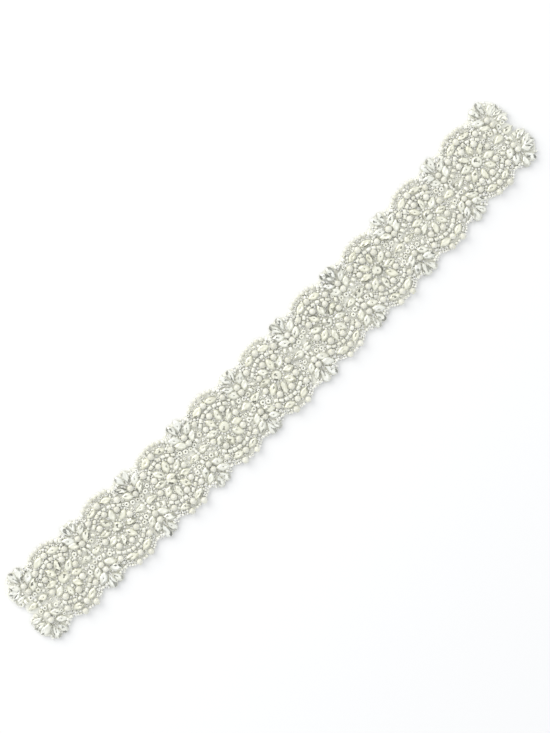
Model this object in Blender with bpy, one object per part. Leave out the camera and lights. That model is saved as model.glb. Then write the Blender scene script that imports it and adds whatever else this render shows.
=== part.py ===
"""A beaded bridal sash lying flat: a scalloped net strip that carries nine
crystal rosettes, pearl arches above and below each rosette, crystal palmettes
between the arches, and a pair of pear stones that links each rosette to the
next. Metres, +Z up, X along the strip. The strip rests on its flat underside.
"""

import math
from collections import namedtuple

import bmesh
import bpy
from mathutils import Vector

MM = 0.001

# The strip
ROSETTE_COUNT = 9
PITCH = 46.1 * MM                    # from one rosette to the next
BOW_RADIUS = 3460 * MM               # the strip lies in a slight curve, ends towards +Y
NET_THICKNESS = 1.0 * MM
SEAM_GAP = 0.3 * MM                  # between the net and what is sewn on it
BEAD_BASE = NET_THICKNESS + SEAM_GAP

# The net's scalloped edge, one lobe for each motif that it carries
ROSETTE_LOBE_RADIUS = 24.9 * MM
PALMETTE_LOBE_RADIUS = 10.4 * MM
PALMETTE_LOBE_HEIGHT = 14.0 * MM
VALLEY_LOBE_RADIUS = 5.0 * MM        # between them, so the valleys stay shallow
VALLEY_LOBE_ALONG = 14.8 * MM
VALLEY_LOBE_HEIGHT = 17.0 * MM
END_LOBE_RADIUS = 11.0 * MM
END_LOBE_HEIGHT = 13.6 * MM
END_LOBE_SHIFT = 0.6 * MM            # the corner lobes reach a little further out
LINK_LOBE_RADIUS = 4.6 * MM
LINK_LOBE_SHIFT = 3.6 * MM
LOBE_STEP = math.radians(24)

# Pearls
PEARL_RADIUS = 2.0 * MM
PEARL_TOP = NET_THICKNESS + 2 * PEARL_RADIUS
SMALL_PEARL_RADIUS = 1.5 * MM
SMALL_PEARL_TOP = NET_THICKNESS + 2 * SMALL_PEARL_RADIUS
PEARL_SIDES = 6
PEARL_CORNER = 1.07                  # the sides' corners stand out, so the flats don't fall short
PEARL_SHOULDER = 0.8                 # share of the radius where the dome turns in
PEARL_SHOULDER_HEIGHT = 0.62         # and the share of the height

# Cut stones in their claw cups
STONE_TOP = 3.9 * MM
PETAL_WIDTH = 3.6 * MM
CENTRE_STONE = (                     # radius and height of its edges, from the collar in
    (4.8 * MM, 2.1 * MM),
    (2.9 * MM, 2.8 * MM),
    (1.7 * MM, 4.3 * MM),
)
RIDGE_SHARE = 0.4                    # length of a marquise's top ridge over its own length
DROP_ROUND = [math.radians(turn) for turn in (-100, -60, -20, 20, 60, 100)]
CREASE_ANGLE = math.radians(48)      # edges sharper than this aren't smoothed

# Strung seed beads, plain here
STRAND_WIDTH = 2.0 * MM
STRAND_HEIGHT = 1.8 * MM

# Rosette: eight petals from a collar round the centre stone out to a ring of eight pearls
PETAL_COUNT = 8
PETAL_START = 4.3 * MM
PETAL_END = 12.2 * MM
RING_RADIUS = 12.0 * MM
RING_STRAND_RADIUS = 11.3 * MM
RING_TURN = math.radians(8)          # the first pearl's angle from +X

# Arch: a band of pearls and marquises between a strung inner row and a strung rim
INNER_RADIUS = 15.5 * MM
INNER_ANGLE = math.radians(36)
INNER_STEPS = 4
BAND_RADIUS = 19.7 * MM
SHOULDER_RADIUS = 19.0 * MM
SHOULDER_ANGLE = math.radians(39.4)  # all arch angles are from the arch's middle
SPACER_ANGLE = math.radians(31)
MARQUISE_ANGLE = math.radians(16.5)
MARQUISE_LENGTH = 8.9 * MM
MARQUISE_WIDTH = 3.4 * MM
RIM_PEARL_RADIUS = 24.2 * MM
RIM_PEARL_ANGLE = math.radians(12)
RIM_RADIUS = 23.8 * MM
RIM_ANGLE = math.radians(31)
RIM_STEPS = 4

# Palmette: stones that spread from two pearls, heights from the strip's middle line
LOWER_PEARL_HEIGHT = 9.3 * MM
UPPER_PEARL_HEIGHT = 13.2 * MM
# Each stone lies on a line from a point of the axis: that point's height, the
# line's angle from the axis in degrees, and the stone's start, end and width, in mm
Stone = namedtuple("Stone", "height angle start end width")
DROP_STONES = (
    Stone(height=12.2, angle=14, start=2.4, end=13.6, width=3.9),
    Stone(height=12.2, angle=52, start=1.8, end=11.2, width=3.8),
)
LEAF_STONE = Stone(height=7.2, angle=52, start=1.9, end=10.6, width=3.4)
CORNER_STONES = (                    # narrow stones that fill the strip's corners
    Stone(height=13.2, angle=77, start=0.9, end=11.4, width=2.6),
    Stone(height=13.2, angle=101, start=0.9, end=11.6, width=2.6),
    Stone(height=9.3, angle=98, start=0.9, end=11.4, width=2.6),
)

# Link: two pear stones end to end with a small pearl between them
LINK_START = 0.6 * MM
LINK_END = 7.6 * MM
LINK_WIDTH = 3.7 * MM


def clear_scene():
    for obj in list(bpy.data.objects):
        bpy.data.objects.remove(obj, do_unlink=True)


def make_material(name, colour, roughness, metallic=0.0):
    material = bpy.data.materials.new(name)
    material.use_nodes = True
    shader = material.node_tree.nodes["Principled BSDF"]
    shader.inputs["Base Color"].default_value = (*colour, 1.0)
    shader.inputs["Roughness"].default_value = roughness
    shader.inputs["Metallic"].default_value = metallic
    return material


def on_strip(along, across):
    """A point of the flat layout moved onto the curve that the strip lies in."""
    angle = along / BOW_RADIUS
    radius = BOW_RADIUS - across
    return Vector((radius * math.sin(angle), BOW_RADIUS - radius * math.cos(angle), 0.0))


def polar(radius, angle, centre=(0.0, 0.0)):
    return Vector((centre[0] + radius * math.cos(angle), centre[1] + radius * math.sin(angle)))


# Solids that the motifs are made of, each added to a bmesh

def add_pearl(bm, place, radius=PEARL_RADIUS, top=PEARL_TOP):
    """A dome on a round base, with its crown at the pearl's real height."""
    shoulder = BEAD_BASE + PEARL_SHOULDER_HEIGHT * (top - BEAD_BASE)
    corner = radius * PEARL_CORNER
    made = bmesh.ops.create_cone(
        bm, cap_ends=True, segments=PEARL_SIDES, radius1=corner,
        radius2=corner * PEARL_SHOULDER, depth=shoulder - BEAD_BASE,
    )
    verts = made["verts"]
    middle = Vector((place[0], place[1], (shoulder + BEAD_BASE) / 2))
    bmesh.ops.translate(bm, verts=verts, vec=middle)
    lid = max({f for v in verts for f in v.link_faces}, key=lambda f: f.calc_center_median().z)
    crown = bmesh.ops.poke(bm, faces=[lid])["verts"][0]
    crown.co.z = top


def add_stone(bm, outline, ridge, top=STONE_TOP):
    """A cut stone: a flat outline that slopes up to a ridge. Each outline point
    goes up to the nearer end of the ridge."""
    base = bm.faces.new([bm.verts.new((p[0], p[1], BEAD_BASE)) for p in outline])
    grown = bmesh.ops.extrude_face_region(bm, geom=[base], use_keep_orig=True)
    upper = [v for v in grown["geom"] if isinstance(v, bmesh.types.BMVert)]
    nearer = [[], []]
    for vert in upper:
        reach = [(vert.co.xy - end).length for end in ridge]
        nearer[reach.index(min(reach))].append(vert)
    for end, verts in zip(ridge, nearer):
        bmesh.ops.pointmerge(bm, verts=verts, merge_co=(end[0], end[1], top))


def add_marquise(bm, start, end, width):
    """A stone with two pointed ends, from start to end."""
    along = (end - start).normalized()
    side = Vector((-along.y, along.x))
    length = (end - start).length
    middle = (start + end) / 2
    ridge = [middle + along * (sign * RIDGE_SHARE * length / 2) for sign in (-1, 1)]
    outline = [start]
    outline += [end_of_ridge - side * width / 2 for end_of_ridge in ridge]
    outline += [end]
    outline += [end_of_ridge + side * width / 2 for end_of_ridge in reversed(ridge)]
    add_stone(bm, outline, ridge)


def add_drop(bm, start, end, width):
    """A pear-shaped stone: pointed at start, round at end."""
    along = (end - start).normalized()
    heading = math.atan2(along.y, along.x)
    radius = width / 2
    round_centre = end - along * radius
    outline = [start]
    outline += [polar(radius, heading + turn, round_centre) for turn in DROP_ROUND]
    add_stone(bm, outline, [(start + round_centre) / 2, round_centre])


def add_strand(bm, line, closed=False):
    """A ridge along a line of points, as wide and high as a string of seed beads."""
    ribs = []
    for i, point in enumerate(line):
        before = line[i - 1] if i or closed else point
        after = line[(i + 1) % len(line)] if i + 1 < len(line) or closed else point
        along = (after - before).normalized()
        side = Vector((-along.y, along.x)) * STRAND_WIDTH / 2
        low = [(*(point + side * sign), BEAD_BASE) for sign in (-1, 1)]
        ridge = (*point, BEAD_BASE + STRAND_HEIGHT)
        ribs.append([bm.verts.new(corner) for corner in (*low, ridge)])
    pairs = list(zip(ribs, ribs[1:]))
    if closed:
        pairs.append((ribs[-1], ribs[0]))
    else:
        bm.faces.new(ribs[0])
        bm.faces.new(ribs[-1])
    for first, second in pairs:
        for i in range(3):
            j = (i + 1) % 3
            bm.faces.new((first[i], first[j], second[j], second[i]))


# Joining the solids of one motif

def solid_from(build):
    """An object with the separate solids that build adds to a bmesh."""
    bm = bmesh.new()
    build(bm)
    bmesh.ops.recalc_face_normals(bm, faces=bm.faces)
    mesh = bpy.data.meshes.new("layer")
    bm.to_mesh(mesh)
    bm.free()
    obj = bpy.data.objects.new("layer", mesh)
    bpy.context.scene.collection.objects.link(obj)
    return obj


def join_flat_faces(mesh):
    """Makes one face of each flat area that the union left in pieces."""
    bm = bmesh.new()
    bm.from_mesh(mesh)
    bmesh.ops.dissolve_limit(bm, angle_limit=math.radians(0.5), verts=bm.verts, edges=bm.edges)
    bm.to_mesh(mesh)
    bm.free()


def union_mesh(name, layers):
    """One closed mesh from layers of solids. The solids within a layer stand apart."""
    objects = [solid_from(build) for build in layers]
    base = objects[0]
    for other in objects[1:]:
        joint = base.modifiers.new("join", "BOOLEAN")
        joint.operation = "UNION"
        joint.solver = "EXACT"
        joint.object = other
    bpy.context.view_layer.update()
    graph = bpy.context.evaluated_depsgraph_get()
    mesh = bpy.data.meshes.new_from_object(base.evaluated_get(graph))
    mesh.name = name
    join_flat_faces(mesh)
    mesh.shade_smooth()
    mesh.set_sharp_from_angle(angle=CREASE_ANGLE)
    for obj in objects:
        bpy.data.objects.remove(obj, do_unlink=True)
    return mesh


# The motifs, each about its own middle in the flat layout

def rosette_mesh():
    def centre_stone(bm):
        """The round stone with its low collar of seed beads."""
        collar, height = CENTRE_STONE[0]
        made = bmesh.ops.create_cone(
            bm, cap_ends=True, segments=PETAL_COUNT, radius1=collar, radius2=collar,
            depth=height - BEAD_BASE,
        )
        bmesh.ops.translate(bm, verts=made["verts"], vec=(0, 0, (height + BEAD_BASE) / 2))
        lid = max(bm.faces, key=lambda f: f.calc_center_median().z)
        for (wide, low), (narrow, high) in zip(CENTRE_STONE, CENTRE_STONE[1:]):
            lid = bmesh.ops.extrude_discrete_faces(bm, faces=[lid])["faces"][0]
            bmesh.ops.scale(bm, verts=lid.verts, vec=(narrow / wide, narrow / wide, 1))
            bmesh.ops.translate(bm, verts=lid.verts, vec=(0, 0, high - low))

    def petals(bm):
        for i in range(PETAL_COUNT):
            angle = RING_TURN + math.tau * (i + 0.5) / PETAL_COUNT
            add_marquise(bm, polar(PETAL_START, angle), polar(PETAL_END, angle), PETAL_WIDTH)

    def ring_strand(bm):
        turns = [RING_TURN + math.tau * i / PETAL_COUNT for i in range(PETAL_COUNT)]
        add_strand(bm, [polar(RING_STRAND_RADIUS, turn) for turn in turns], closed=True)

    def ring_pearls(bm):
        for i in range(PETAL_COUNT):
            add_pearl(bm, polar(RING_RADIUS, RING_TURN + math.tau * i / PETAL_COUNT))

    return union_mesh("rosette", [ring_strand, petals, centre_stone, ring_pearls])


def arch_mesh():
    """The arch above a rosette, drawn about the rosette's middle."""
    top = math.pi / 2

    def add_row(bm, radius, angle, steps):
        """A strand along an arc, down to the shoulder pearls at both ends."""
        line = [polar(SHOULDER_RADIUS, top - SHOULDER_ANGLE)]
        line += [polar(radius, top - angle + 2 * angle * i / steps) for i in range(steps + 1)]
        line += [polar(SHOULDER_RADIUS, top + SHOULDER_ANGLE)]
        add_strand(bm, line)

    def rim(bm):
        add_row(bm, RIM_RADIUS, RIM_ANGLE, RIM_STEPS)

    def inner_row(bm):
        add_row(bm, INNER_RADIUS, INNER_ANGLE, INNER_STEPS)

    def pearls(bm):
        add_pearl(bm, polar(BAND_RADIUS, top))
        for side in (-1, 1):
            add_pearl(bm, polar(SHOULDER_RADIUS, top + side * SHOULDER_ANGLE))
            add_pearl(bm, polar(RIM_PEARL_RADIUS, top + side * RIM_PEARL_ANGLE))

    def spacers(bm):
        for side in (-1, 1):
            place = polar(BAND_RADIUS, top + side * SPACER_ANGLE)
            add_pearl(bm, place, SMALL_PEARL_RADIUS, SMALL_PEARL_TOP)

    def marquises(bm):
        for side in (-1, 1):
            angle = top + side * MARQUISE_ANGLE
            middle = polar(BAND_RADIUS, angle)
            along = polar(MARQUISE_LENGTH / 2, angle + math.pi / 2)
            add_marquise(bm, middle - along, middle + along, MARQUISE_WIDTH)

    return union_mesh("arch", [rim, inner_row, pearls, spacers, marquises])


def palmette_mesh(corner=0):
    """The palmette above the strip's middle line. At the strip's ends corner is
    1 or -1, and narrow stones take the place of the leaf on that side."""
    def add_spread(bm, add, side, stone):
        focus = (0.0, stone.height * MM)
        heading = math.pi / 2 - side * math.radians(stone.angle)
        start = polar(stone.start * MM, heading, focus)
        end = polar(stone.end * MM, heading, focus)
        add(bm, start, end, stone.width * MM)

    def lower_pearl(bm):
        add_pearl(bm, (0.0, LOWER_PEARL_HEIGHT))

    def upper_pearl(bm):
        add_pearl(bm, (0.0, UPPER_PEARL_HEIGHT))

    def drops(bm):
        for stone in DROP_STONES:
            for side in (-1, 1):
                add_spread(bm, add_drop, side, stone)

    def leaves(bm):
        for side in (-1, 1):
            if side != corner:
                add_spread(bm, add_marquise, side, LEAF_STONE)

    def corner_stone(stone):
        return lambda bm: add_spread(bm, add_marquise, corner, stone)

    layers = [lower_pearl, upper_pearl, drops, leaves]
    if corner:
        layers += [corner_stone(stone) for stone in CORNER_STONES]
    return union_mesh("palmette", layers)


def link_mesh():
    def bead(bm):
        add_pearl(bm, (0.0, 0.0), SMALL_PEARL_RADIUS, SMALL_PEARL_TOP)

    def stones(bm):
        for side in (-1, 1):
            add_drop(bm, Vector((side * LINK_END, 0)), Vector((side * LINK_START, 0)), LINK_WIDTH)

    return union_mesh("link", [bead, stones])


# The net strip

def outer_meeting(first, second):
    """Where two neighbouring lobes of the outline cross, on the outer side."""
    (ax, ay, ar), (bx, by, br) = first, second
    line = Vector((bx - ax, by - ay))
    gap = line.length
    along = (ar * ar - br * br + gap * gap) / (2 * gap)
    out = math.sqrt(ar * ar - along * along)
    unit = line / gap
    return Vector((ax, ay)) + unit * along + Vector((unit.y, -unit.x)) * out


def outline_lobes():
    """The lobes (x, y, radius) round the strip, anticlockwise from the right end."""
    end = ROSETTE_COUNT * PITCH / 2
    columns = [(i - (ROSETTE_COUNT - 1) / 2) * PITCH for i in range(ROSETTE_COUNT)]
    upper = [(end + END_LOBE_SHIFT, END_LOBE_HEIGHT, END_LOBE_RADIUS)]
    for x in reversed(columns):
        upper.append((x + VALLEY_LOBE_ALONG, VALLEY_LOBE_HEIGHT, VALLEY_LOBE_RADIUS))
        upper.append((x, 0.0, ROSETTE_LOBE_RADIUS))
        upper.append((x - VALLEY_LOBE_ALONG, VALLEY_LOBE_HEIGHT, VALLEY_LOBE_RADIUS))
        upper.append((x - PITCH / 2, PALMETTE_LOBE_HEIGHT, PALMETTE_LOBE_RADIUS))
    upper[-1] = (-end - END_LOBE_SHIFT, END_LOBE_HEIGHT, END_LOBE_RADIUS)
    link = (end + LINK_LOBE_SHIFT, 0.0, LINK_LOBE_RADIUS)
    half = [link] + upper
    return half + [(-x, -y, r) for x, y, r in half]


def strip_outline():
    lobes = outline_lobes()
    points = []
    for i, (x, y, radius) in enumerate(lobes):
        centre = Vector((x, y))
        begin = outer_meeting(lobes[i - 1], lobes[i]) - centre
        finish = outer_meeting(lobes[i], lobes[(i + 1) % len(lobes)]) - centre
        first = math.atan2(begin.y, begin.x)
        turn = (math.atan2(finish.y, finish.x) - first) % math.tau
        steps = max(2, math.ceil(turn / LOBE_STEP))
        points += [polar(radius, first + turn * s / steps, centre) for s in range(steps)]
    return points


def net_mesh():
    bm = bmesh.new()
    sole = bm.faces.new([bm.verts.new(on_strip(*p)) for p in strip_outline()])
    grown = bmesh.ops.extrude_face_region(bm, geom=[sole], use_keep_orig=True)
    upper = [v for v in grown["geom"] if isinstance(v, bmesh.types.BMVert)]
    bmesh.ops.translate(bm, verts=upper, vec=(0, 0, NET_THICKNESS))
    bmesh.ops.recalc_face_normals(bm, faces=bm.faces)
    mesh = bpy.data.meshes.new("net_strip")
    bm.to_mesh(mesh)
    bm.free()
    return mesh


# Putting the motifs on the strip

def add_object(name, mesh, material, parent, along=0.0, turned=False):
    """Places a motif on the strip's curve. A turned one lies below the middle line."""
    obj = bpy.data.objects.new(name, mesh)
    if not mesh.materials:
        mesh.materials.append(material)
    bpy.context.scene.collection.objects.link(obj)
    obj.location = on_strip(along, 0.0)
    obj.rotation_euler.z = along / BOW_RADIUS + (math.pi if turned else 0.0)
    obj.parent = parent
    return obj


def centre_on_origin(parent, objects):
    """Moves the whole strip so that the middle of its box is over the origin."""
    bpy.context.view_layer.update()
    corners = [obj.matrix_world @ vert.co for obj in objects for vert in obj.data.vertices]
    for axis in (0, 1):
        values = [corner[axis] for corner in corners]
        parent.location[axis] = -(min(values) + max(values)) / 2
    bpy.context.view_layer.update()


def build_sash():
    clear_scene()
    net = make_material("white_net", (0.86, 0.86, 0.82), 0.85)
    pearl = make_material("ivory_pearl", (0.89, 0.87, 0.77), 0.25)
    crystal = make_material("foiled_crystal", (0.90, 0.91, 0.93), 0.08, 0.6)

    sash = bpy.data.objects.new("sash", None)
    bpy.context.scene.collection.objects.link(sash)
    objects = [add_object("net_strip", net_mesh(), net, sash)]

    rosette, arch, palmette, link = rosette_mesh(), arch_mesh(), palmette_mesh(), link_mesh()
    # half a turn swaps the sides, so each corner's mesh also serves the one across the strip
    corner_palmettes = {1: palmette_mesh(1), -1: palmette_mesh(-1)}

    for i in range(ROSETTE_COUNT):
        along = (i - (ROSETTE_COUNT - 1) / 2) * PITCH
        number = i + 1
        objects.append(add_object(f"rosette_{number}", rosette, crystal, sash, along))
        objects.append(add_object(f"arch_upper_{number}", arch, pearl, sash, along))
        objects.append(add_object(f"arch_lower_{number}", arch, pearl, sash, along, True))

    for i in range(ROSETTE_COUNT + 1):
        along = (i - ROSETTE_COUNT / 2) * PITCH
        number = i + 1
        corner = {0: -1, ROSETTE_COUNT: 1}.get(i, 0)
        upper = corner_palmettes.get(corner, palmette)
        lower = corner_palmettes.get(-corner, palmette)
        objects.append(add_object(f"palmette_upper_{number}", upper, crystal, sash, along))
        objects.append(add_object(f"palmette_lower_{number}", lower, crystal, sash, along, True))
        objects.append(add_object(f"link_{number}", link, crystal, sash, along))

    centre_on_origin(sash, objects)


build_sash()
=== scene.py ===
import math
import random

import bmesh
import bpy
import numpy as np
from mathutils import Euler, Matrix, Vector


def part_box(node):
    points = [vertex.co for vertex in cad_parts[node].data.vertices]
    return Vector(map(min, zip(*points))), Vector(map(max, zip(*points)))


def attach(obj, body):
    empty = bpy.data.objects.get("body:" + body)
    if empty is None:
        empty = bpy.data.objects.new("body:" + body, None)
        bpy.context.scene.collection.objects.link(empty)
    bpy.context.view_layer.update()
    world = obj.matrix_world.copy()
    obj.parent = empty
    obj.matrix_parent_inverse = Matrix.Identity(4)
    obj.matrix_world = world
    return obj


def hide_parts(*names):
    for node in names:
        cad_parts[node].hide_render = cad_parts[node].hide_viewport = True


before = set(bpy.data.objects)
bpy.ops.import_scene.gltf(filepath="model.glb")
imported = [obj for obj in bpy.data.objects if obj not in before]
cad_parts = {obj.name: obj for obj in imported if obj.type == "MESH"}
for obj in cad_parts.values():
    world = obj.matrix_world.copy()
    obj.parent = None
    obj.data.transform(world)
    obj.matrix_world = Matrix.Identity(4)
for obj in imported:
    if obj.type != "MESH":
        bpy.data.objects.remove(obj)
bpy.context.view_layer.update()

random.seed(27)
numbers = np.random.default_rng(27)

# The layout is in millimetres: each motif about its own middle, y outward from the strip's middle line
strip = {
    "rosettes": 9,
    "pitch": 46.1,  # from one rosette to the next
    "bow": 3460.0,  # radius of the slight curve that the strip lies in
    "netTop": 1.0,
    "scale": 0.001,  # millimetres to metres
}

lowCorner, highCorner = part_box("rosette_5")
stripMiddle = ((lowCorner + highCorner) / 2).xy


def onStrip(x, y):
    turn = x / strip["bow"]
    reach = strip["bow"] - y
    return Vector((reach * math.sin(turn), strip["bow"] - reach * math.cos(turn), 0))


def motifPlace(x, below):  # below the middle line a motif is turned half round
    turn = x / strip["bow"] + (math.pi if below else 0)
    return Matrix.Translation(onStrip(x, 0)) @ Matrix.Rotation(turn, 4, "Z")


sewn = {  # where each sort of motif sits from its solid: along, outward, slant, and how far these vary
    "rosette": (0.1, -0.5, 0.0, 0.7, 3.0),
    "outerArch": (-0.1, -1.2, -1.5, 0.6, 2.0),
    "innerArch": (-0.6, 0.4, -1.5, 0.6, 2.0),
    "outerPalmette": (0.3, -1.1, 0.0, 0.5, 2.5),
    "innerPalmette": (0.0, 0.5, 0.0, 0.5, 2.5),
    "link": (0.3, -0.8, 0.0, 0.5, 4.0),
}


def handLaid(sort, x, below=False):  # nothing is sewn quite where the chart has it
    along, out, slant, shift, turn = sewn[sort]
    along += random.uniform(-shift, shift)
    out += random.uniform(-shift, shift)
    slant += random.uniform(-turn, turn)
    moved = motifPlace(x, below) @ Matrix.Translation((along, out, 0))
    return moved @ Matrix.Rotation(math.radians(slant), 4, "Z")


def polar(radius, degrees):
    turn = math.radians(degrees)
    return radius * math.cos(turn), radius * math.sin(turn)


def fromArch(radius, degrees):  # degrees from the arch's middle
    return polar(radius, 90 - degrees)


def fromAxis(height, degrees, reach):  # along a line that leaves the palmette's axis at a height
    x, y = polar(reach, 90 - degrees)
    return x, height + y


# Materials

def rgb(hexCode):  # an sRGB hex value as the linear colour that the shader takes
    parts = [int(hexCode[i:i + 2], 16) / 255 for i in (1, 3, 5)]
    linear = [p / 12.92 if p <= 0.04045 else ((p + 0.055) / 1.055) ** 2.4 for p in parts]
    return (*linear, 1.0)


def addNode(tree, kind, settings=None, links=None):
    node = tree.nodes.new(kind)
    for name, value in (settings or {}).items():
        if isinstance(name, str) and hasattr(node, name):
            setattr(node, name, value)
        else:
            node.inputs[name].default_value = value
    for name, source in (links or {}).items():
        tree.links.new(source, node.inputs[name])
    return node


def newMaterial(name, uniform):
    material = bpy.data.materials.new(name)
    material.use_nodes = True
    shader = material.node_tree.nodes["Principled BSDF"]
    for socket, value in uniform.items():
        shader.inputs[socket].default_value = value
    return material, material.node_tree, shader


def rampOf(tree, source, stops):
    ramp = addNode(tree, "ShaderNodeValToRGB", links={"Fac": source})
    stopsLeft = ramp.color_ramp.elements
    while len(stopsLeft) < len(stops):
        stopsLeft.new(0.5)
    for stop, (position, colour) in zip(stopsLeft, stops):
        stop.position = position
        stop.color = rgb(colour)
    return ramp


def pearlLacquer():  # moulded ABS with a pearl lacquer: ivory, soft gloss, light scattering a little way into it; each bead a little warmer or lighter at random
    material, tree, shader = newMaterial("pearlLacqueredABS", {
        "Metallic": 0.0, "Roughness": 0.4, "IOR": 1.45, "Coat Weight": 0.15, "Coat Roughness": 0.2,
        "Subsurface Weight": 0.9, "Subsurface Radius": (0.0024, 0.0024, 0.0022), "Subsurface Scale": 1.0,
    })
    tone = addNode(tree, "ShaderNodeAttribute", {"attribute_name": "tone"})
    ramp = rampOf(tree, tone.outputs["Fac"], [
        (0.0, "#d2d1c5"), (0.5, "#d9d8cc"), (1.0, "#dfded3"),
    ])
    tree.links.new(ramp.outputs["Color"], shader.inputs["Base Color"])
    return material


def foiledCrystal():  # cut glass on silver foil: each facet's colour is a painted reflection, another patch of light or dark
    material, tree, shader = newMaterial("foilBackedGlass", {
        "Metallic": 0.3, "Roughness": 0.24, "Coat Weight": 0.3, "Coat Roughness": 0.05,
    })
    # Painted reflections: a per-facet tone picks each facet's colour, from a dark mirrored patch to a bright
    # one
    facetReflection = addNode(tree, "ShaderNodeAttribute", {"attribute_name": "facetReflection"})
    ramp = rampOf(tree, facetReflection.outputs["Fac"], [
        (0.0, "#74746c"), (0.1, "#b1b1a6"), (0.22, "#dddccf"), (0.5, "#e9e9dd"), (1.0, "#f2f2e9"),
    ])
    fire = addNode(tree, "ShaderNodeAttribute", {"attribute_name": "tone"})
    tint = rampOf(tree, fire.outputs["Fac"], [
        (0.0, "#f9f8ee"), (0.5, "#fbfbf6"), (1.0, "#fbfcff"),
    ])
    mixed = addNode(tree, "ShaderNodeMix", {"data_type": "RGBA", "blend_type": "MULTIPLY"})
    mixed.inputs[0].default_value = 1.0
    tree.links.new(ramp.outputs["Color"], mixed.inputs[6])
    tree.links.new(tint.outputs["Color"], mixed.inputs[7])
    tree.links.new(mixed.outputs[2], shader.inputs["Base Color"])
    return material


def silverLined():  # glass seed beads with a silver lining: pale champagne, small hard glints
    material, tree, shader = newMaterial("silverLinedGlass", {
        "Metallic": 0.05, "Roughness": 0.45, "Coat Weight": 0.1, "Coat Roughness": 0.2,
        "Subsurface Weight": 0.8, "Subsurface Radius": (0.0012, 0.0012, 0.0011), "Subsurface Scale": 1.0,
    })
    tone = addNode(tree, "ShaderNodeAttribute", {"attribute_name": "tone"})
    ramp = rampOf(tree, tone.outputs["Fac"], [
        (0.0, "#dddccf"), (0.3, "#e7e7db"), (0.8, "#edece1"), (1.0, "#f8f7ed"),
    ])
    tree.links.new(ramp.outputs["Color"], shader.inputs["Base Color"])
    return material


def platedCup():  # pressed brass cups with bright silver plate
    material, tree, shader = newMaterial("silverPlatedBrass", {"Metallic": 0.6, "Roughness": 0.36})
    spot = addNode(tree, "ShaderNodeTexCoord")
    tarnish = addNode(tree, "ShaderNodeTexNoise", {
        "Scale": 320.0, "Detail": 3.0,
    }, {"Vector": spot.outputs["Object"]})
    ramp = rampOf(tree, tarnish.outputs["Fac"], [(0.3, "#d0d0c4"), (0.55, "#e2e2d6"), (0.8, "#efefe5")])
    tree.links.new(ramp.outputs["Color"], shader.inputs["Base Color"])
    return material


def waveScale(period):  # a wave texture has a period of 2 pi / 20 of its scale
    return 2 * math.pi / period / 20


def stiffenedNet():  # two layers of starched nylon net: threads 0.9 mm apart, as coarse as they show
    material, tree, shader = newMaterial("stiffenedNylonNet", {"Roughness": 0.78, "Sheen Weight": 0.15})
    spot = addNode(tree, "ShaderNodeTexCoord")
    turned = addNode(tree, "ShaderNodeMapping", links={"Vector": spot.outputs["Object"]})
    turned.inputs["Rotation"].default_value = (0, 0, math.radians(45))
    bands = []
    for direction in ("X", "Y"):
        bands.append(addNode(tree, "ShaderNodeTexWave", {
            "wave_type": "BANDS", "bands_direction": direction, "wave_profile": "SIN",
            "Scale": waveScale(0.0009), "Distortion": 0.6, "Detail": 1.0,
        }, {"Vector": turned.outputs["Vector"]}))
    threads = addNode(tree, "ShaderNodeMath", {"operation": "MAXIMUM"})
    tree.links.new(bands[0].outputs["Fac"], threads.inputs[0])
    tree.links.new(bands[1].outputs["Fac"], threads.inputs[1])
    ramp = rampOf(tree, threads.outputs[0], [(0.35, "#e6e6db"), (0.7, "#f3f3ea"), (1.0, "#fafaf4")])
    bump = addNode(tree, "ShaderNodeBump", {
        "Strength": 0.5, "Distance": 0.0002,
    }, {"Height": threads.outputs[0]})
    tree.links.new(ramp.outputs["Color"], shader.inputs["Base Color"])
    tree.links.new(bump.outputs["Normal"], shader.inputs["Normal"])
    return material


def sewingThread():  # spun polyester, off-white, with its ply as a fine slanting bump
    material, tree, shader = newMaterial("spunPolyesterThread", {"Roughness": 0.6, "Sheen Weight": 0.3})
    spot = addNode(tree, "ShaderNodeTexCoord")
    ply = addNode(tree, "ShaderNodeTexWave", {
        "bands_direction": "DIAGONAL", "Scale": waveScale(0.0004),
    }, {"Vector": spot.outputs["Object"]})
    ramp = rampOf(tree, ply.outputs["Fac"], [(0.0, "#cfccbf"), (1.0, "#efede4")])
    tree.links.new(ramp.outputs["Color"], shader.inputs["Base Color"])
    return material


# Shapes of one bead or stone, each made once

def finishedMesh(bm, name, smooth):
    bmesh.ops.recalc_face_normals(bm, faces=bm.faces)
    mesh = bpy.data.meshes.new(name)
    bm.to_mesh(mesh)
    bm.free()
    if smooth:
        mesh.shade_smooth()
    return mesh


def roundBead(name, radius):
    bm = bmesh.new()
    bmesh.ops.create_icosphere(bm, subdivisions=2, radius=radius)
    return finishedMesh(bm, name, True)


beadProfile = (  # a seed bead's wall: share of half its length, share of the way from the hole to the outside
    (-0.9, 0.1), (-1.0, 0.55), (-0.72, 1.0), (0.72, 1.0), (1.0, 0.55), (0.9, 0.1),
)
beadSides = 8


def stringBead(name, radius, half, hole):  # a bead with its hole along x, half as long as half says
    bm = bmesh.new()
    wall = radius - hole
    ring = [bm.verts.new((along * half, hole + out * wall, 0)) for along, out in beadProfile]
    for first, second in zip(ring, ring[1:] + ring[:1]):
        bm.edges.new((first, second))
    bmesh.ops.spin(
        bm, geom=bm.verts[:] + bm.edges[:], axis=(1, 0, 0), cent=(0, 0, 0),
        angle=math.tau, steps=beadSides, use_merge=True,
    )
    return finishedMesh(bm, name, True)


def marquise(turn):  # outlines run from -1 to 1 both ways
    return math.cos(turn), math.sin(turn) * abs(math.sin(turn)) ** 0.7


def pear(turn):  # round at +x, pointed at -x
    return -math.cos(turn), math.sin(turn) * abs(math.sin(turn / 2)) / 0.77


def circle(turn):
    return math.cos(turn), math.sin(turn)


def ringFace(bm, outline, sides, length, width, z):
    made = bmesh.ops.create_circle(bm, cap_ends=True, segments=sides, radius=1)["verts"]
    for vert in made:
        x, y = outline(math.atan2(vert.co.y, vert.co.x) % math.tau)
        vert.co = (x * length / 2, y * width / 2, z)
    return made[0].link_faces[0]


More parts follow.
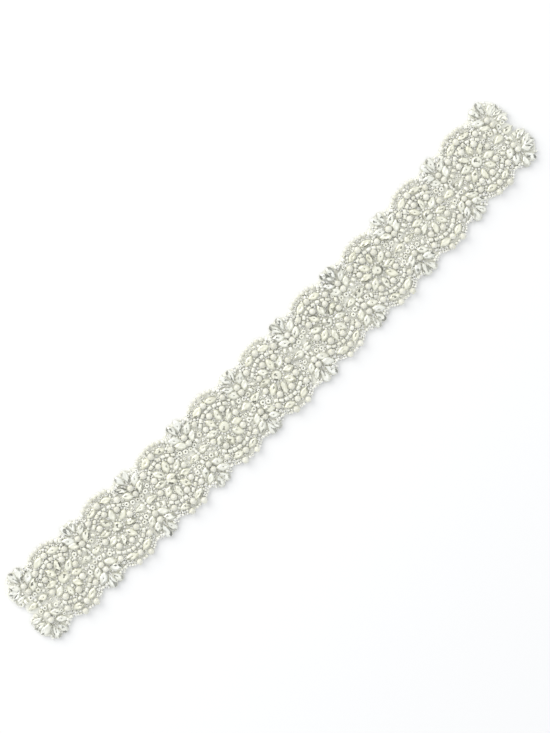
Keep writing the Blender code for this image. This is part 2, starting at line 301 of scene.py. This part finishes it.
stoneCut = {
    "sides": 12,
    "girdle": (2.35, 2.75),  # heights of the girdle's lower and upper edge
    "crown": ((0.84, 3.3), (0.62, 3.6)),  # share of the outline, height
    "point": 0.22,  # the middle facet, where a dark reflection is painted, as a share of the table
    "pavilion": 0.25,  # how far the facets under the table draw down towards it
}


def cutStone(name, outline, length, width, lift=0.0):
    bm = bmesh.new()
    low, high = stoneCut["girdle"]
    face = ringFace(bm, outline, stoneCut["sides"], length, width, low + lift)
    steps = [(1.0, high)] + list(stoneCut["crown"])
    share = 1.0
    for nextShare, height in steps:
        raised = bmesh.ops.extrude_discrete_faces(bm, faces=[face])["faces"][0]
        grow = nextShare / share
        bmesh.ops.scale(bm, verts=raised.verts, vec=(grow, grow, 1))
        rise = height + lift - raised.verts[0].co.z
        bmesh.ops.translate(bm, verts=raised.verts, vec=(0, 0, rise))
        share = nextShare
        face = raised
    base = ringFace(bm, outline, stoneCut["sides"], length, width, low + lift)
    base.normal_flip()
    bmesh.ops.remove_doubles(bm, verts=bm.verts, dist=0.001)
    table = max(bm.faces, key=lambda f: f.calc_center_median().z)
    inner = bmesh.ops.extrude_discrete_faces(bm, faces=[table])["faces"][0]
    grow = stoneCut["point"]
    bmesh.ops.scale(bm, verts=inner.verts, vec=(grow, grow, 1))
    bmesh.ops.translate(bm, verts=inner.verts, vec=(0, 0, -stoneCut["pavilion"]))
    overGirdle = [f for f in bm.faces if f.calc_center_median().z > high + lift + 0.05]
    crownFaces = [f for f in overGirdle if len(f.verts) == 4]
    bmesh.ops.triangulate(bm, faces=crownFaces, quad_method="ALTERNATE")
    return finishedMesh(bm, name, False)


cup = {
    "wall": 0.22,
    "top": 2.45,
    "claw": 0.24,  # radius at its foot
    "clawTip": 0.6,  # share of that radius at its tip
    "clawLength": 1.5,
    "clawRise": 0.2,  # its middle over the cup's top
    "clawLean": -24.0,  # inward over the stone
}


def clawCup(name, outline, length, width, claws, lift=0.0):
    bm = bmesh.new()
    wide = 2 * cup["wall"]
    face = ringFace(bm, outline, stoneCut["sides"], length + wide, width + wide, strip["netTop"])
    top = bmesh.ops.extrude_face_region(bm, geom=[face], use_keep_orig=True)["geom"]
    topVerts = [v for v in top if isinstance(v, bmesh.types.BMVert)]
    rise = cup["top"] + lift - strip["netTop"]
    bmesh.ops.translate(bm, verts=topVerts, vec=(0, 0, rise))
    for degrees in claws:
        x, y = outline(math.radians(degrees))
        foot = Vector((x * (length + wide) / 2, y * (width + wide) / 2, 0))
        lean = Matrix.Rotation(math.radians(cup["clawLean"]), 4, Vector((-foot.y, foot.x, 0)))
        stand = Matrix.Translation(foot + Vector((0, 0, cup["top"] + lift + cup["clawRise"])))
        bmesh.ops.create_cone(
            bm, cap_ends=True, segments=4, radius1=cup["claw"], radius2=cup["claw"] * cup["clawTip"],
            depth=cup["clawLength"], matrix=stand @ lean,
        )
    return finishedMesh(bm, name, False)


stones = {  # outline, length, width, claw angles, lift, tones: 0 ivory, 1 clear, share of facets painted as dark reflections
    "petal": (marquise, 7.8, 4.5, (48, 132, 228, 312), 0.0, (0.1, 0.6), 0.13),
    "marquise": (marquise, 8.3, 4.2, (50, 130, 230, 310), 0.0, (0.0, 0.4), 0.1),
    "leaf": (marquise, 7.8, 4.5, (50, 130, 230, 310), 0.0, (0.4, 0.8), 0.08),
    "cornerStone": (marquise, 7.8, 3.6, (50, 130, 230, 310), 0.0, (0.7, 1.0), 0.2),
    "drop": (pear, 8.6, 4.4, (70, 140, 220, 290), 0.0, (0.8, 1.0), 0.2),
    "sideDrop": (marquise, 8.2, 4.6, (70, 140, 220, 290), 0.0, (0.7, 1.0), 0.1),
    "linkStone": (pear, 7.6, 4.3, (70, 140, 220, 290), 0.0, (0.1, 0.6), 0.18),
    "chaton": (circle, 6.8, 6.8, (45, 135, 225, 315), 0.4, (0.2, 0.8), 0.3),
}

# Where each thing lies: kind of thing to a list of places

places = {}
handmade = (0.92, 1.08)  # how small and how large one of a kind may be


def put(kind, motif, x, y, degrees=0.0, z=0.0, wobble=0.3, tilt=6.0, stand=0.0):
    spot = Matrix.Translation((
        x + random.uniform(-wobble, wobble),
        y + random.uniform(-wobble, wobble),
        z,
    ))
    lean = Euler((
        math.radians(random.uniform(-tilt, tilt)),
        math.radians(stand + random.uniform(-tilt, tilt)),
        math.radians(degrees + random.uniform(-tilt, tilt)),
    )).to_matrix().to_4x4()
    grown = Matrix.Scale(random.uniform(*handmade), 4)
    places.setdefault(kind, []).append(motif @ spot @ lean @ grown)


beadSizes = {  # radius, half length, hole radius, tones: 0 dark, 1 light
    "fineSeed": (0.7, 0.58, 0.27, (0.55, 0.95)),
    "tinySeed": (0.84, 0.72, 0.3, (0.3, 0.9)),
    "seed": (1.05, 0.95, 0.3, (0.1, 0.9)),
    "bigSeed": (1.2, 1.08, 0.36, (0.2, 1.0)),
    "ring": (1.7, 0.95, 0.42, (0.0, 0.7)),
    "barrel": (1.28, 1.5, 0.4, (0.0, 0.6)),
}
holeUp = {"edge": 0.3, "cup": 0.55, "ground": 0.6}  # share of the seeds that stand on end there


def putSeed(kind, motif, x, y, degrees=0.0, onEnd=0.0):
    isUp = random.random() < onEnd
    radius, half, *_ = beadSizes[kind]
    height = strip["netTop"] + (half if isUp else radius)
    put(kind, motif, x, y, degrees, z=height, wobble=0.2, tilt=12.0, stand=90.0 if isUp else 0.0)


balls = {  # radius, height of the middle over the net, wobble, tones: 0 warm, 1 light
    "pearl": (2.18, 2.05, 0.35, (0, 1)),
    "roundBead": (1.5, 1.3, 0.3, (0.3, 1)),
}


def putBall(kind, motif, x, y):
    radius, rise, wobble, tones = balls[kind]
    turn = random.uniform(0, 360)
    put(kind, motif, x, y, turn, z=strip["netTop"] + rise, wobble=wobble, tilt=20.0)


rosette = {
    "turn": 8.0,  # the first pearl's angle
    "spin": 3.0,  # how far that angle varies
    "petals": 8,
    "petalMiddle": 8.7,
    "centre": 0.5,  # how far outward the centre stone sits
    "collar": (14, 4.4),  # seeds round the centre stone, radius
    "ring": 11.7,  # radius of the ring of pearls
    "tips": (("tinySeed", 0.0, 13.1), ("tinySeed", 8.6, 12.7)),  # kind, angle from the petal, radius
}


def layRosette(motif):
    turn = rosette["turn"] + random.uniform(-rosette["spin"], rosette["spin"])
    step = 360 / rosette["petals"]
    centre = rosette["centre"]
    put("chaton", motif, 0, centre, random.uniform(0, 45), tilt=3.0)
    count, radius = rosette["collar"]
    for i in range(count):
        degrees = turn + 360 * i / count
        x, y = polar(radius, degrees)
        putSeed("tinySeed", motif, x, centre + y, degrees + 90)
    for i in range(rosette["petals"]):
        pearlTurn = turn + step * i
        putBall("pearl", motif, *polar(rosette["ring"], pearlTurn))
        petalTurn = pearlTurn + step / 2
        put("petal", motif, *polar(rosette["petalMiddle"], petalTurn), petalTurn)
        for kind, aside, radius in rosette["tips"]:
            for side in (-1, 1) if aside else (1,):
                x, y = polar(radius, petalTurn + side * aside)
                putSeed(kind, motif, x, y, petalTurn + 90, onEnd=holeUp["edge"])


arch = {
    "inner": (15.4, 43.5, 12.4),  # radius, last angle, step
    "band": 19.6,  # radius of the middle pearl and the marquise stones
    "shoulder": (19.0, 39.4),
    "marquiseAngle": 17.4,
    "corners": (  # kind, angle from the arch's middle, radius, as in the two rims
        ("seed", 31.2, 19.4), ("tinySeed", 7.6, 17.9), ("tinySeed", 7.4, 21.3), ("tinySeed", 27.6, 17.8),
        ("tinySeed", 27.2, 21.3), ("tinySeed", 33.6, 21.0), ("tinySeed", 33.8, 17.6),
    ),
    "outerRim": (
        ("roundBead", 4.5, 25.5), ("roundBead", 12.8, 25.4), ("roundBead", 20.8, 25.1),
        ("bigSeed", 28.0, 24.4), ("bigSeed", 33.6, 23.7), ("seed", 38.6, 23.1),
    ),
    "innerRim": (
        ("pearl", 11.4, 24.5), ("seed", 2.4, 24.3), ("tinySeed", 18.4, 23.1),
        ("tinySeed", 18.8, 24.7), ("tinySeed", 22.2, 22.9), ("tinySeed", 22.6, 24.5),
        ("tinySeed", 26.0, 22.7), ("tinySeed", 26.4, 24.2), ("tinySeed", 29.8, 22.5),
        ("tinySeed", 30.2, 23.8), ("tinySeed", 33.6, 22.4), ("tinySeed", 37.2, 22.2),
    ),
    "side": (  # kind, aside, outward
        ("seed", 12.6, 17.7), ("seed", 13.4, 20.6), ("tinySeed", 14.9, 20.7), ("seed", 16.4, 20.5),
        ("tinySeed", 15.6, 21.7), ("tinySeed", 17.7, 19.3), ("seed", 17.9, 21.2),
    ),
}


def layRow(kind, motif, radius, last, step):
    count = round(2 * last / step)
    for i in range(count + 1):
        degrees = -last + 2 * last * i / count
        x, y = fromArch(radius, degrees)
        putSeed(kind, motif, x, y, -degrees)


def layArch(motif, rim):
    layRow("barrel", motif, *arch["inner"])
    putBall("pearl", motif, *fromArch(arch["band"], 0))
    for side in (-1, 1):
        radius, degrees = arch["shoulder"]
        putBall("pearl", motif, *fromArch(radius, side * degrees))
        x, y = fromArch(arch["band"], side * arch["marquiseAngle"])
        put("marquise", motif, x, y, -side * arch["marquiseAngle"])
        for kind, x, y in arch["side"]:
            putSeed(kind, motif, side * x, y, 90)
        for kind, degrees, radius in arch["corners"] + rim:
            x, y = fromArch(radius, side * degrees)
            if kind in balls:
                putBall(kind, motif, x, y)
            else:
                putSeed(kind, motif, x, y, -side * degrees, onEnd=holeUp["edge"])


palmette = {
    "pearls": (9.2, 13.5),
    "drops": (("drop", 12.2, 13.4, 9.5), ("sideDrop", 12.2, 51.0, 6.9)),  # height, angle, reach of the middle
    "leaf": (7.2, 50.0, 6.4),
    "corner": ((13.2, 77.0, 7.7), (13.2, 101.0, 7.9), (9.3, 98.0, 7.7)),
    "middle": (16.4, 23.6, 1.2),  # fine seeds from, to, step
    "between": (12.2, 33.5, (5.2, 6.9, 11.0, 12.4)),  # seeds from a height, angle, reaches
    "cornerRows": ((13.2, 66.0), (13.2, 89.0), (11.3, 99.0)),  # seeds from a height, angle
    "cornerReaches": (4.2, 5.8, 7.4, 9.0, 10.6),
    "cupFoot": 5.3,  # the cup is a curve of ring beads: height, bend, half width, step
    "cupBend": 0.037,
    "cornerBend": 0.008,
    "cupReach": 11.2,
    "cupStep": 3.5,
}


def layCup(motif, corner):
    x = palmette["cupStep"] / 2
    while x < palmette["cupReach"]:
        for side in (-1, 1):
            bend = palmette["cornerBend" if side == corner else "cupBend"]
            slope = math.degrees(math.atan(2 * bend * x)) * side
            y = palmette["cupFoot"] + bend * x * x
            putSeed("ring", motif, side * x, y, slope, onEnd=holeUp["cup"])
        bend = palmette["cupBend"]
        x += palmette["cupStep"] / math.sqrt(1 + (2 * bend * x) ** 2)


def layPalmette(motif, corner=0):  # corner is the side of the strip's end, 1 or -1, and 0 elsewhere
    for height in palmette["pearls"]:
        putBall("pearl", motif, 0, height)
    for side in (-1, 1):
        for kind, height, degrees, reach in palmette["drops"]:
            x, y = fromAxis(height, side * degrees, reach)
            put(kind, motif, x, y, 90 - side * degrees)
        if side == corner:
            for height, degrees, reach in palmette["corner"]:
                x, y = fromAxis(height, side * degrees, reach)
                put("cornerStone", motif, x, y, 90 - side * degrees)
            for height, degrees in palmette["cornerRows"]:
                for reach in palmette["cornerReaches"]:
                    x, y = fromAxis(height, side * degrees, reach)
                    putSeed("tinySeed", motif, x, y, 90 - side * degrees)
        else:
            height, degrees, reach = palmette["leaf"]
            x, y = fromAxis(height, side * degrees, reach)
            put("leaf", motif, x, y, 90 - side * degrees)
        height, degrees, reaches = palmette["between"]
        for reach in reaches:
            x, y = fromAxis(height, side * degrees, reach)
            putSeed("tinySeed", motif, x, y, 90 - side * degrees)
    low, high, step = palmette["middle"]
    for i in range(round((high - low) / step) + 1):
        putSeed("fineSeed", motif, 0, low + step * i, 90)
    layCup(motif, corner)


link = {
    "stone": 4.6,  # from the link's middle to a stone's
    "seeds": (-3.9, -2.1, 0.0, 2.1, 3.9),
}


def layLink(motif):
    for side in (-1, 1):
        put("linkStone", motif, side * link["stone"], 0, 0 if side < 0 else 180)
    for y in link["seeds"]:
        putSeed("seed", motif, 0, y, 90)


count = strip["rosettes"]
for i in range(count):
    x = (i - (count - 1) / 2) * strip["pitch"]
    layRosette(handLaid("rosette", x))
    layArch(handLaid("outerArch", x), arch["outerRim"])
    layArch(handLaid("innerArch", x, below=True), arch["innerRim"])
for i in range(count + 1):
    x = (i - count / 2) * strip["pitch"]
    corner = {0: -1, count: 1}.get(i, 0)
    layPalmette(handLaid("outerPalmette", x), corner)
    layPalmette(handLaid("innerPalmette", x, below=True), -corner)
    layLink(handLaid("link", x))
print("laid", {kind: len(found) for kind, found in places.items()})


# Fine seeds between everything, but for the hollows and the open windows of net

ground = {
    "passes": (("seed", 12000, 2.3, 0.75), ("fineSeed", 22000, 1.35, 0.35)),  # kind, tries, spacing, gap
    "halfWidth": 24.0,
    "reach": {"pearl": 2.0, "roundBead": 1.3, "chaton": 3.3, "barrel": 1.4, "ring": 1.5},  # half widths
    "stoneReach": ((0.0, 1.9), (2.1, 1.4), (-2.1, 1.4)),  # along a stone, half width there
    "smallReach": 0.8,  # half width of every other bead
    "edge": 22.8,  # how far out from the rosette's middle the ground goes in the arches
    "palmetteGround": (12.0, 7.0),  # height of its middle, radius
    "hollow": (4.4, 6.6),  # round the centre stone's collar, from and to
    "window": (17.4, 4.0),  # from the rosette's middle along, and half height at the link
}


def coveredSpots():
    spots = []
    for kind, found in places.items():
        isStone = kind in stones and kind != "chaton"
        discs = ground["stoneReach"] if isStone else ((0.0, ground["reach"].get(kind, ground["smallReach"])),)
        for spot in found:
            for along, reach in discs:
                middle = spot @ Vector((along, 0, 0))
                spots.append((middle.x, middle.y, reach))
    return spots


def isGround(along, out):  # measured from the nearest rosette
    fromLink = strip["pitch"] / 2 - abs(along)
    inWindow = abs(along) > ground["window"][0] and abs(out) < ground["window"][1]
    inHollow = ground["hollow"][0] < math.hypot(along, out) < ground["hollow"][1]
    height, radius = ground["palmetteGround"]
    inPalmette = math.hypot(fromLink, abs(out) - height) < radius
    return not inWindow and not inHollow and (math.hypot(along, out) < ground["edge"] or inPalmette)


def layGround(kind, tries, spacing, gap):
    spots = coveredSpots()
    taken = np.zeros((len(spots) + tries, 3))
    taken[:len(spots)] = spots
    taken[:len(spots), 2] += gap
    used = len(spots)
    half = strip["rosettes"] * strip["pitch"] / 2
    for i in range(tries):
        x = random.uniform(-half, half)
        y = random.uniform(-ground["halfWidth"], ground["halfWidth"])
        along = (x + half) % strip["pitch"] - strip["pitch"] / 2
        if not isGround(along, y):
            continue
        spot = onStrip(x, y)
        gaps = np.hypot(taken[:used, 0] - spot.x, taken[:used, 1] - spot.y) - taken[:used, 2]
        if gaps.min() > 0:
            taken[used] = spot.x, spot.y, spacing
            used += 1
            putSeed(kind, Matrix.Translation(spot), 0, 0, random.uniform(0, 180), onEnd=holeUp["ground"])
    print("ground", kind, used - len(spots))


for groundPass in ground["passes"]:
    layGround(*groundPass)


# Joined pieces

toFrame = Matrix.Translation((*stripMiddle, 0)) @ Matrix.Scale(strip["scale"], 4)

# Painted reflections and shadows on the crystals: each facet is set light or dark as if it mirrored a bright
# or a dark patch
sparkle = {
    "sectors": 6,  # facets round the crown, and as many again inside them
    "inner": 0.6,  # share of the outline where the inner ones begin
    "dark": 0.16,  # a facet painted as a dark reflection has a tone up to this
    "light": (0.22, 0.78),  # a facet painted as a light reflection: least tone, and how far above it
    "dropClawShadow": 0.5,  # share of the drops with a painted claw shadow on their outer end
    "point": 0.6,  # share of the stones with a dark reflection painted on the middle facet; the centre stones all have one
}


def paintedFacetReflections(shape, count, dark):  # paints each facet's reflected light or dark as a tone; faces of one facet share a number
    sectors = sparkle["sectors"]
    reach = [max(abs(v.co[axis]) for v in shape.vertices) for axis in range(2)]
    groups = []
    for polygon in shape.polygons:
        x, y = polygon.center.x / reach[0], polygon.center.y / reach[1]
        sector = int((math.atan2(y, x) % math.tau) / math.tau * sectors)
        groups.append(sector + (sectors if math.hypot(x, y) < sparkle["inner"] else 0))
    level = numbers.random((count, 2 * sectors))
    isDark = numbers.random((count, 2 * sectors)) < dark
    # painted claw shadow: the outer end facet of some drops is set dark
    if shape.name in ("drop", "sideDrop"):
        isDark[:, 0] |= numbers.random(count) < sparkle["dropClawShadow"]
    least, above = sparkle["light"]
    found = np.where(isDark, sparkle["dark"] * level, least + above * level)[:, groups]
    # painted dark reflection on the middle facet under the table
    middle = [p.index for p in shape.polygons if len(p.vertices) > 4 and p.normal.z > 0.9]
    if middle:
        share = 1.0 if shape.name == "chaton" else sparkle["point"]
        found[:, middle] = np.where(numbers.random((count, len(middle))) < share, 0.0, 0.5)
    return found.ravel()


def joinedPiece(name, parts, material):  # parts: shape, places, tones, share of facets painted as dark reflections
    bm = bmesh.new()
    tones = []
    facetReflections = []
    for shape, spots, (low, high), dark in parts:
        for spot in spots:
            one = shape.copy()
            one.transform(toFrame @ spot)
            bm.from_mesh(one)
            tones += [numbers.uniform(low, high)] * len(one.vertices)
            bpy.data.meshes.remove(one)
        facetReflections.append(paintedFacetReflections(shape, len(spots), dark))
    mesh = bpy.data.meshes.new(name)
    bm.to_mesh(mesh)
    bm.free()
    tone = mesh.attributes.new("tone", "FLOAT", "POINT")
    tone.data.foreach_set("value", np.array(tones, np.float32))
    facetReflection = mesh.attributes.new("facetReflection", "FLOAT", "FACE")
    facetReflection.data.foreach_set("value", np.concatenate(facetReflections).astype(np.float32))
    mesh.materials.append(material)
    piece = bpy.data.objects.new(name, mesh)
    bpy.context.scene.collection.objects.link(piece)
    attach(piece, "root")
    print("made", name, len(mesh.polygons), "faces")
    return piece


crystalParts = []
cupParts = []
for kind, (outline, length, width, claws, lift, tones, dark) in stones.items():
    crystalParts.append((cutStone(kind, outline, length, width, lift), places[kind], tones, dark))
    cupParts.append((clawCup(kind + "Cup", outline, length, width, claws, lift), places[kind], tones, 0))

crystal = foiledCrystal()
plate = platedCup()
lined = silverLined()
lacquer = pearlLacquer()

crystals = joinedPiece("crystals", crystalParts, crystal)
cups = joinedPiece("clawCups", cupParts, plate)
for kind, (radius, rise, wobble, tones) in balls.items():
    ballParts = [(roundBead(kind, radius), places[kind], tones, 0)]
    joinedPiece(kind + "s", ballParts, lacquer)
for kind, (radius, half, hole, tones) in beadSizes.items():
    seedParts = [(stringBead(kind, radius, half, hole), places[kind], tones, 0)]
    joinedPiece(kind + "Beads", seedParts, lined)


# Stitches on the back, one under each thing that is sewn on; the sash rests on them

backStitch = {"half": 1.2, "wide": 0.2, "high": 0.24}  # half its length, width and height


def makeStitches():
    bm = bmesh.new()
    upright = Matrix.Rotation(math.pi / 2, 4, "Y")
    bmesh.ops.create_uvsphere(bm, u_segments=6, v_segments=4, radius=1, matrix=upright)
    bmesh.ops.scale(bm, verts=bm.verts, vec=(backStitch["half"], backStitch["wide"], backStitch["high"]))
    shape = finishedMesh(bm, "backStitch", True)
    spots = []
    for kind, found in places.items():
        for spot in found:
            under = Matrix.Translation((*spot.translation.xy, backStitch["high"]))
            spots.append(under @ Matrix.Rotation(random.uniform(0, math.pi), 4, "Z"))
    return joinedPiece("backStitches", [(shape, spots, (0, 1), 0)], sewingThread())


stitches = makeStitches()


# The net backing, cut round the motifs

netCut = {
    "rosetteLobe": 24.9,
    "palmetteLobe": (14.0, 10.4),  # height of its middle, radius
    "valleyLobe": (14.8, 17.0, 5.0),  # along from the rosette, height, radius
    "cornerLobe": (0.6, 13.6, 11.0),  # shift outward, height, radius
    "linkLobe": (3.6, 4.6),  # shift outward, radius
    "step": 6.0,  # degrees between the outline's points
    "bottom": 0.4,
}


def lobeMeeting(first, second):  # where two neighbouring lobes cross, on the outer side
    line = Vector((second[0] - first[0], second[1] - first[1]))
    along = (first[2] ** 2 - second[2] ** 2 + line.length_squared) / (2 * line.length)
    out = math.sqrt(first[2] ** 2 - along ** 2)
    unit = line.normalized()
    return Vector(first[:2]) + unit * along + Vector((unit.y, -unit.x)) * out


def netLobes():
    end = count * strip["pitch"] / 2
    shift, height, radius = netCut["cornerLobe"]
    half = [(end + netCut["linkLobe"][0], 0.0, netCut["linkLobe"][1]), (end + shift, height, radius)]
    for i in reversed(range(count)):
        x = (i - (count - 1) / 2) * strip["pitch"]
        along, valley, reach = netCut["valleyLobe"]
        half.append((x + along, valley, reach))
        half.append((x, 0.0, netCut["rosetteLobe"]))
        half.append((x - along, valley, reach))
        if i:
            half.append((x - strip["pitch"] / 2, *netCut["palmetteLobe"]))
    half.append((-end - shift, height, radius))
    return half + [(-x, -y, r) for x, y, r in half]


def netOutline():
    lobes = netLobes()
    points = []
    for i, (x, y, radius) in enumerate(lobes):
        begin = lobeMeeting(lobes[i - 1], lobes[i]) - Vector((x, y))
        finish = lobeMeeting(lobes[i], lobes[(i + 1) % len(lobes)]) - Vector((x, y))
        first = math.atan2(begin.y, begin.x)
        turn = (math.atan2(finish.y, finish.x) - first) % math.tau
        steps = max(2, math.ceil(math.degrees(turn) / netCut["step"]))
        for s in range(steps):
            a = first + turn * s / steps
            points.append(Vector((x + radius * math.cos(a), y + radius * math.sin(a))))
    return points


def makeNet():
    outline = netOutline()
    area = sum(a.x * b.y - b.x * a.y for a, b in zip(outline, outline[1:] + outline[:1])) / 2
    bm = bmesh.new()
    sole = bm.faces.new([bm.verts.new(onStrip(p.x, p.y)) for p in outline])
    grown = bmesh.ops.extrude_face_region(bm, geom=[sole], use_keep_orig=True)["geom"]
    upper = [v for v in grown if isinstance(v, bmesh.types.BMVert)]
    bmesh.ops.translate(bm, verts=bm.verts, vec=(0, 0, netCut["bottom"]))
    bmesh.ops.translate(bm, verts=upper, vec=(0, 0, strip["netTop"] - netCut["bottom"]))
    bmesh.ops.transform(bm, matrix=toFrame, verts=bm.verts)
    mesh = finishedMesh(bm, "netBacking", False)
    mesh.materials.append(stiffenedNet())
    net = bpy.data.objects.new("netBacking", mesh)
    bpy.context.scene.collection.objects.link(net)
    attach(net, "root")
    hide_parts("net_strip")
    return net, area * strip["scale"] ** 2


net, netArea = makeNet()
print("net area", netArea)

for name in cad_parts:
    if name.startswith("arch"):
        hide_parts(name)
    elif name != "net_strip":
        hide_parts(name)


# Floor, light and camera

def pointAt(obj, target):
    obj.rotation_euler = (Vector(target) - obj.location).to_track_quat("-Z", "Y").to_euler()


def softbox(name, place, size, energy, colour):
    data = bpy.data.lights.new(name, "AREA")
    data.shape = "RECTANGLE"
    data.size, data.size_y = size
    data.energy = energy
    data.color = rgb(colour)[:3]
    lamp = bpy.data.objects.new(name, data)
    bpy.context.scene.collection.objects.link(lamp)
    lamp.location = place
    pointAt(lamp, (0, 0, 0))


def makeStage(half):
    bm = bmesh.new()
    bmesh.ops.create_grid(bm, x_segments=1, y_segments=1, size=half)
    mesh = finishedMesh(bm, "paleFloor", False)
    material, *_ = newMaterial("whitePaper", {
        "Base Color": rgb("#eeeeed"), "Roughness": 0.9, "Specular IOR Level": 0.1,
    })
    mesh.materials.append(material)
    floor = bpy.data.objects.new("paleFloor", mesh)
    bpy.context.scene.collection.objects.link(floor)


makeStage(3.0)
softbox("keySoftbox", (-0.15, 1.26, 0.76), (1.3, 1.3), 13.4, "#fffcf5")

world = bpy.data.worlds.new("studio")
bpy.context.scene.world = world
world.use_nodes = True
tree = world.node_tree
direction = addNode(tree, "ShaderNodeTexCoord")
split = addNode(tree, "ShaderNodeSeparateXYZ", links={"Vector": direction.outputs["Generated"]})
sky = rampOf(tree, split.outputs["Z"], [
    (0.0, "#d8dbe4"), (0.3, "#e8ebf2"), (0.7, "#f8fafe"), (1.0, "#ffffff"),
])
backdrop = tree.nodes["Background"]
tree.links.new(sky.outputs["Color"], backdrop.inputs["Color"])
backdrop.inputs["Strength"].default_value = 1.035

camera = {
    "lens": 100.0,
    "sensor": 36.0,
    "frameHeight": 0.4604,  # metres across the photo's long side, at the sash
    "roll": 45.233,  # the sash runs this many degrees above the picture's level
    "right": -0.00157,  # the sash's middle from the picture's, in metres
    "down": 0.00336,
    "lift": 0.0025,
}


def makeCamera():
    data = bpy.data.cameras.new("photoCamera")
    data.lens = camera["lens"]
    data.sensor_width = camera["sensor"]
    view = bpy.data.objects.new("photoCamera", data)
    bpy.context.scene.collection.objects.link(view)
    turn = -math.radians(camera["roll"])
    side = Vector((math.cos(turn), math.sin(turn), 0))
    up = Vector((-math.sin(turn), math.cos(turn), 0))
    distance = camera["frameHeight"] / camera["sensor"] * camera["lens"]
    view.location = up * camera["down"] - side * camera["right"] + Vector((0, 0, distance + camera["lift"]))
    view.rotation_euler = (0, 0, turn)
    bpy.context.scene.camera = view


makeCamera()
bpy.context.scene.view_settings.view_transform = "Standard"
